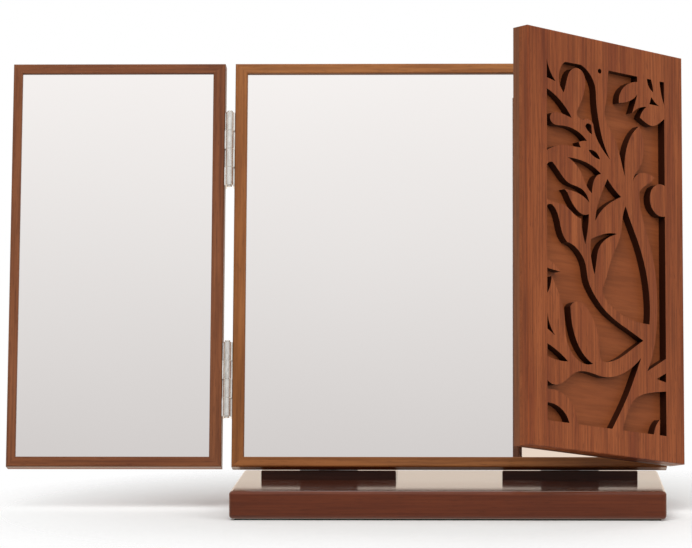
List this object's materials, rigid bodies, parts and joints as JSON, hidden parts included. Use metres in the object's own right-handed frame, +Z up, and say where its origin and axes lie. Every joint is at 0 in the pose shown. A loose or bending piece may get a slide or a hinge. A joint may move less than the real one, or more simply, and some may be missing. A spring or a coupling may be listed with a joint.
{
  "type": "tri-fold table mirror",
  "caption": "Folding table mirror: a centre mirror tilts on a base board and carries hinged mirror wings, each backed by a pierced wooden branch-and-leaf panel.",
  "frame": {"origin": "centre of the felt's underside, where the mirror stands", "axes": "+X to the viewer's right, +Y away from the viewer, +Z up"},
  "size_m": [0.4676, 0.2067, 0.3331],
  "materials": {
    "frame_wood": "clear satin lacquer over stained hardwood",
    "back_wood": "clear satin lacquer over stained hardwood",
    "fretwork_wood": "satin lacquer, cut walls burnt dark",
    "ground_wood": "satin lacquer, olive brown",
    "base_wood": "gloss lacquer over dark stained hardwood",
    "mirror_glass": "silvered float glass",
    "backing_board": "raw hardboard",
    "hinge_steel": "nickel plate",
    "screw_steel": "nickel plate",
    "felt": "pressed wool felt"
  },
  "bodies": {
    "base": {"base_board": "base_wood", "base_felt_pad": "felt", "support_block_left": "base_wood", "support_block_right": "base_wood", "support_block_screws": "screw_steel", "tilt_hinge_base_screws": "screw_steel", "tilt_hinge_left_base_leaf": "hinge_steel", "tilt_hinge_left_pin": "hinge_steel", "tilt_hinge_right_base_leaf": "hinge_steel", "tilt_hinge_right_pin": "hinge_steel"},
    "centre_panel": {"back_board_screws": "screw_steel", "centre_back_board": "back_wood", "centre_backing_sheet": "backing_board", "centre_mirror_glass": "mirror_glass", "centre_rail_bottom": "frame_wood", "centre_rail_top": "frame_wood", "centre_stile_left": "frame_wood", "centre_stile_right": "frame_wood", "tilt_hinge_left_panel_leaf": "hinge_steel", "tilt_hinge_panel_screws": "screw_steel", "tilt_hinge_right_panel_leaf": "hinge_steel", "wing_hinge_centre_screws": "screw_steel", "wing_hinge_left_lower_centre_leaf": "hinge_steel", "wing_hinge_left_lower_pin": "hinge_steel", "wing_hinge_left_upper_centre_leaf": "hinge_steel", "wing_hinge_left_upper_pin": "hinge_steel", "wing_hinge_right_lower_centre_leaf": "hinge_steel", "wing_hinge_right_lower_pin": "hinge_steel", "wing_hinge_right_upper_centre_leaf": "hinge_steel", "wing_hinge_right_upper_pin": "hinge_steel"},
    "left_wing": {"left_wing_backing_sheet": "backing_board", "left_wing_fretwork_panel": "fretwork_wood", "left_wing_ground_board": "ground_wood", "left_wing_hinge_lower_leaf": "hinge_steel", "left_wing_hinge_screws": "screw_steel", "left_wing_hinge_upper_leaf": "hinge_steel", "left_wing_mirror_glass": "mirror_glass", "left_wing_rail_bottom": "frame_wood", "left_wing_rail_top": "frame_wood", "left_wing_stile_free_side": "frame_wood", "left_wing_stile_hinge_side": "frame_wood"},
    "right_wing": {"right_wing_backing_sheet": "backing_board", "right_wing_fretwork_panel": "fretwork_wood", "right_wing_ground_board": "ground_wood", "right_wing_hinge_lower_leaf": "hinge_steel", "right_wing_hinge_screws": "screw_steel", "right_wing_hinge_upper_leaf": "hinge_steel", "right_wing_mirror_glass": "mirror_glass", "right_wing_rail_bottom": "frame_wood", "right_wing_rail_top": "frame_wood", "right_wing_stile_free_side": "frame_wood", "right_wing_stile_hinge_side": "frame_wood"}
  },
  "joints": [
    {"name": "panel_tilt", "type": "hinge", "parent": "base", "child": "centre_panel", "pos_m": [0, 0.0107, 0.0288], "axis": [-1, 0, 0], "range_deg": [-12.3, 12.7]},
    {"name": "left_wing_swing", "type": "hinge", "parent": "centre_panel", "child": "left_wing", "pos_m": [-0.1535, -0.0103, 0.0301], "axis": [0, 0.213, 0.977], "range_deg": [0, 180]},
    {"name": "right_wing_swing", "type": "hinge", "parent": "centre_panel", "child": "right_wing", "pos_m": [0.1535, -0.0103, 0.0301], "axis": [0, -0.213, -0.977], "range_deg": [-136.16, 43.84]}
  ]
}
